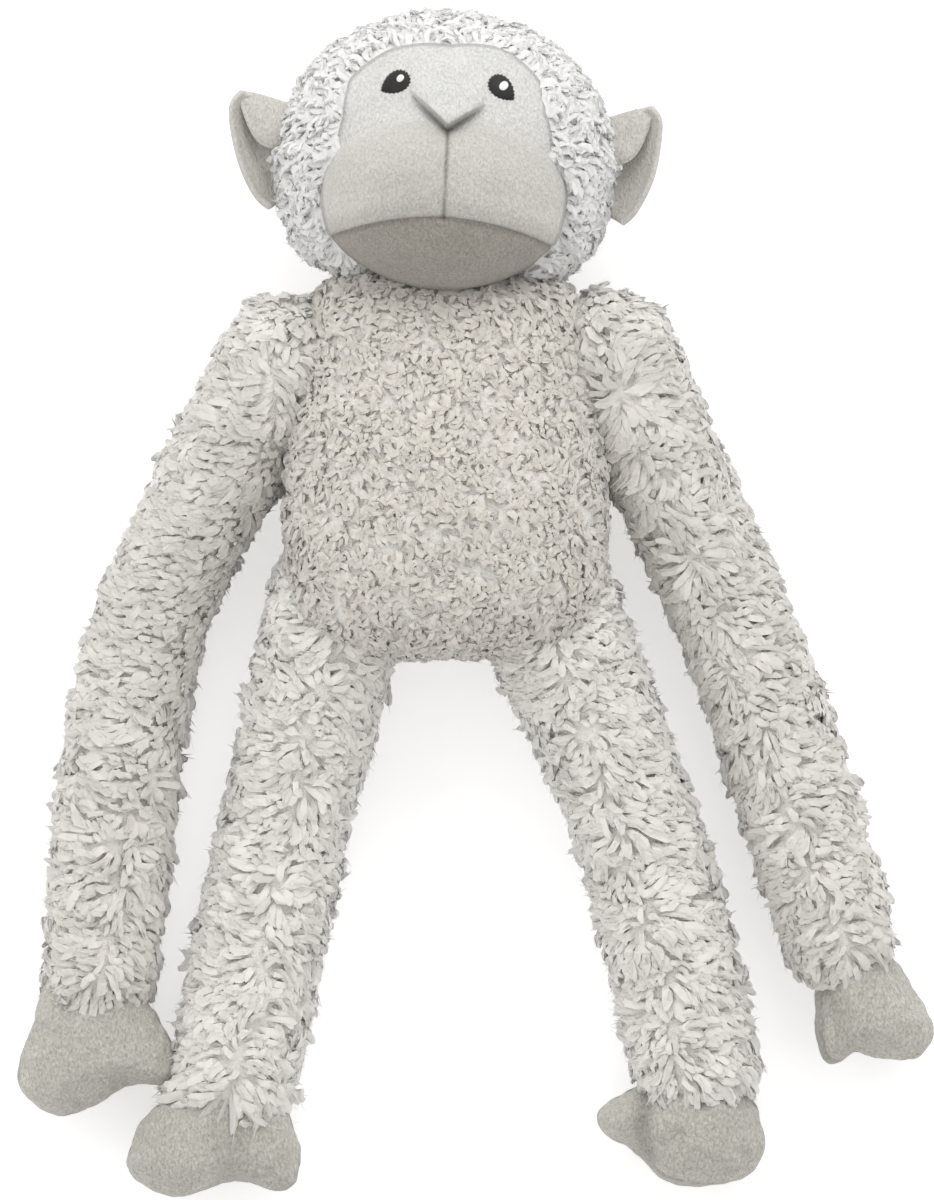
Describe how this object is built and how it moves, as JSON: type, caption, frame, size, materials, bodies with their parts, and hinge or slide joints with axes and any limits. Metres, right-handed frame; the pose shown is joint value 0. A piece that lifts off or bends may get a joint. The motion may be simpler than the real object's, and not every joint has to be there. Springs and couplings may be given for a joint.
{
  "type": "stuffed monkey",
  "caption": "Long-limbed plush monkey in curly off-white fur with a short-pile face, ears, hands and feet, lying on its back; limbs, head and ears are jointed.",
  "frame": {"origin": "centre of the patch of the back that the toy lies on", "axes": "+Z out of the belly and the face, +Y towards the crown, +X to the side of the right arm as seen from the front"},
  "size_m": [0.3539, 0.4711, 0.1215],
  "materials": {
    "curly_fur": "matte",
    "short_velour": "matte",
    "face_velour": "matte",
    "chin_velour": "matte",
    "black_thread": "satin",
    "white_thread": "satin",
    "polyester_stuffing": "matte"
  },
  "bodies": {
    "torso": {"torso_front_fur": "curly_fur", "torso_back_fur": "curly_fur", "torso_stuffing": "polyester_stuffing"},
    "neck": {"neck_fur_band": "curly_fur", "neck_stuffing": "polyester_stuffing"},
    "head": {"head_fur_hood": "curly_fur", "head_stuffing": "polyester_stuffing", "face_panel": "face_velour", "muzzle_panel_left": "face_velour", "muzzle_panel_right": "face_velour", "chin_panel": "chin_velour", "muzzle_stuffing": "polyester_stuffing", "nose_fold": "face_velour", "eye_patch_left": "black_thread", "eye_patch_right": "black_thread", "eye_highlight_left": "white_thread", "eye_highlight_right": "white_thread"},
    "ear_left": {"ear_back_left": "face_velour", "ear_lobe_left": "face_velour"},
    "shoulder_left": {"shoulder_left_fur": "curly_fur", "shoulder_left_stuffing": "polyester_stuffing"},
    "upper_arm_left": {"upper_arm_left_fur": "curly_fur", "upper_arm_left_stuffing": "polyester_stuffing"},
    "forearm_left": {"forearm_left_fur": "curly_fur", "forearm_left_stuffing": "polyester_stuffing"},
    "hip_left": {"hip_left_fur": "curly_fur", "hip_left_stuffing": "polyester_stuffing"},
    "thigh_left": {"thigh_left_fur": "curly_fur", "thigh_left_stuffing": "polyester_stuffing"},
    "shin_left": {"shin_left_fur": "curly_fur", "shin_left_stuffing": "polyester_stuffing"},
    "hand_left": {"hand_left_back_panel": "short_velour", "hand_left_palm_panel": "short_velour", "hand_left_stuffing": "polyester_stuffing"},
    "foot_left": {"foot_left_top_panel": "short_velour", "foot_left_sole_panel": "short_velour", "foot_left_stuffing": "polyester_stuffing"},
    "ear_right": {"ear_back_right": "face_velour", "ear_lobe_right": "face_velour"},
    "shoulder_right": {"shoulder_right_fur": "curly_fur", "shoulder_right_stuffing": "polyester_stuffing"},
    "upper_arm_right": {"upper_arm_right_fur": "curly_fur", "upper_arm_right_stuffing": "polyester_stuffing"},
    "forearm_right": {"forearm_right_fur": "curly_fur", "forearm_right_stuffing": "polyester_stuffing"},
    "hip_right": {"hip_right_fur": "curly_fur", "hip_right_stuffing": "polyester_stuffing"},
    "thigh_right": {"thigh_right_fur": "curly_fur", "thigh_right_stuffing": "polyester_stuffing"},
    "shin_right": {"shin_right_fur": "curly_fur", "shin_right_stuffing": "polyester_stuffing"},
    "hand_right": {"hand_right_back_panel": "short_velour", "hand_right_palm_panel": "short_velour", "hand_right_stuffing": "polyester_stuffing"},
    "foot_right": {"foot_right_top_panel": "short_velour", "foot_right_sole_panel": "short_velour", "foot_right_stuffing": "polyester_stuffing"}
  },
  "joints": [
    {"name": "neck_turn", "type": "hinge", "parent": "torso", "child": "neck", "pos_m": [0, 0.068, 0.05], "axis": [0, 1, 0], "range_deg": [-25, 25]},
    {"name": "neck_nod", "type": "hinge", "parent": "neck", "child": "head", "pos_m": [0, 0.068, 0.05], "axis": [-1, 0, 0], "range_deg": [-12, 10]},
    {"name": "ear_left_fold", "type": "hinge", "parent": "head", "child": "ear_left", "pos_m": [-0.06643, 0.13013, 0.0535], "axis": [0.0471, 0.9989, 0], "range_deg": [-12, 20]},
    {"name": "ear_right_fold", "type": "hinge", "parent": "head", "child": "ear_right", "pos_m": [0.06643, 0.12387, 0.0535], "axis": [-0.0471, -0.9989, 0], "range_deg": [-12, 20]},
    {"name": "shoulder_left_spread", "type": "hinge", "parent": "torso", "child": "shoulder_left", "pos_m": [-0.062, 0.046, 0.05], "axis": [0, 0, 1], "range_deg": [-60, 0]},
    {"name": "shoulder_left_raise", "type": "hinge", "parent": "shoulder_left", "child": "upper_arm_left", "pos_m": [-0.062, 0.046, 0.05], "axis": [-0.8944, 0.4472, 0], "range_deg": [-15, 65]},
    {"name": "elbow_left", "type": "hinge", "parent": "upper_arm_left", "child": "forearm_left", "pos_m": [-0.118, -0.066, 0.026], "axis": [-0.9902, 0.1394, 0], "range_deg": [-10, 70]},
    {"name": "wrist_left", "type": "hinge", "parent": "forearm_left", "child": "hand_left", "pos_m": [-0.137, -0.201, 0.024], "axis": [-0.9902, 0.1394, 0], "range_deg": [-25, 25]},
    {"name": "hip_left_spread", "type": "hinge", "parent": "torso", "child": "hip_left", "pos_m": [-0.042, -0.051, 0.044], "axis": [0, 0, 1], "range_deg": [0, 10]},
    {"name": "hip_left_raise", "type": "hinge", "parent": "hip_left", "child": "thigh_left", "pos_m": [-0.042, -0.051, 0.044], "axis": [-0.9719, 0.2356, 0], "range_deg": [-15, 60]},
    {"name": "knee_left", "type": "hinge", "parent": "thigh_left", "child": "shin_left", "pos_m": [-0.066, -0.15, 0.027], "axis": [0.981, -0.194, 0], "range_deg": [-20, 80]},
    {"name": "ankle_left", "type": "hinge", "parent": "shin_left", "child": "foot_left", "pos_m": [-0.084, -0.241, 0.025], "axis": [-0.981, 0.194, 0], "range_deg": [-25, 25]},
    {"name": "shoulder_right_spread", "type": "hinge", "parent": "torso", "child": "shoulder_right", "pos_m": [0.064, 0.048, 0.05], "axis": [0, 0, -1], "range_deg": [-60, 0]},
    {"name": "shoulder_right_raise", "type": "hinge", "parent": "shoulder_right", "child": "upper_arm_right", "pos_m": [0.064, 0.048, 0.05], "axis": [-0.9096, -0.4156, 0], "range_deg": [-15, 65]},
    {"name": "elbow_right", "type": "hinge", "parent": "upper_arm_right", "child": "forearm_right", "pos_m": [0.117, -0.068, 0.026], "axis": [-0.9503, -0.3114, 0], "range_deg": [-10, 70]},
    {"name": "wrist_right", "type": "hinge", "parent": "forearm_right", "child": "hand_right", "pos_m": [0.156, -0.187, 0.024], "axis": [-0.9503, -0.3114, 0], "range_deg": [-25, 25]},
    {"name": "hip_right_spread", "type": "hinge", "parent": "torso", "child": "hip_right", "pos_m": [0.038, -0.052, 0.044], "axis": [0, 0, -1], "range_deg": [0, 10]},
    {"name": "hip_right_raise", "type": "hinge", "parent": "hip_right", "child": "thigh_right", "pos_m": [0.038, -0.052, 0.044], "axis": [-0.9258, -0.3779, 0], "range_deg": [-15, 60]},
    {"name": "knee_right", "type": "hinge", "parent": "thigh_right", "child": "shin_right", "pos_m": [0.078, -0.15, 0.027], "axis": [0.9733, 0.2296, 0], "range_deg": [-20, 80]},
    {"name": "ankle_right", "type": "hinge", "parent": "shin_right", "child": "foot_right", "pos_m": [0.099, -0.239, 0.025], "axis": [-0.9733, -0.2296, 0], "range_deg": [-25, 25]}
  ]
}
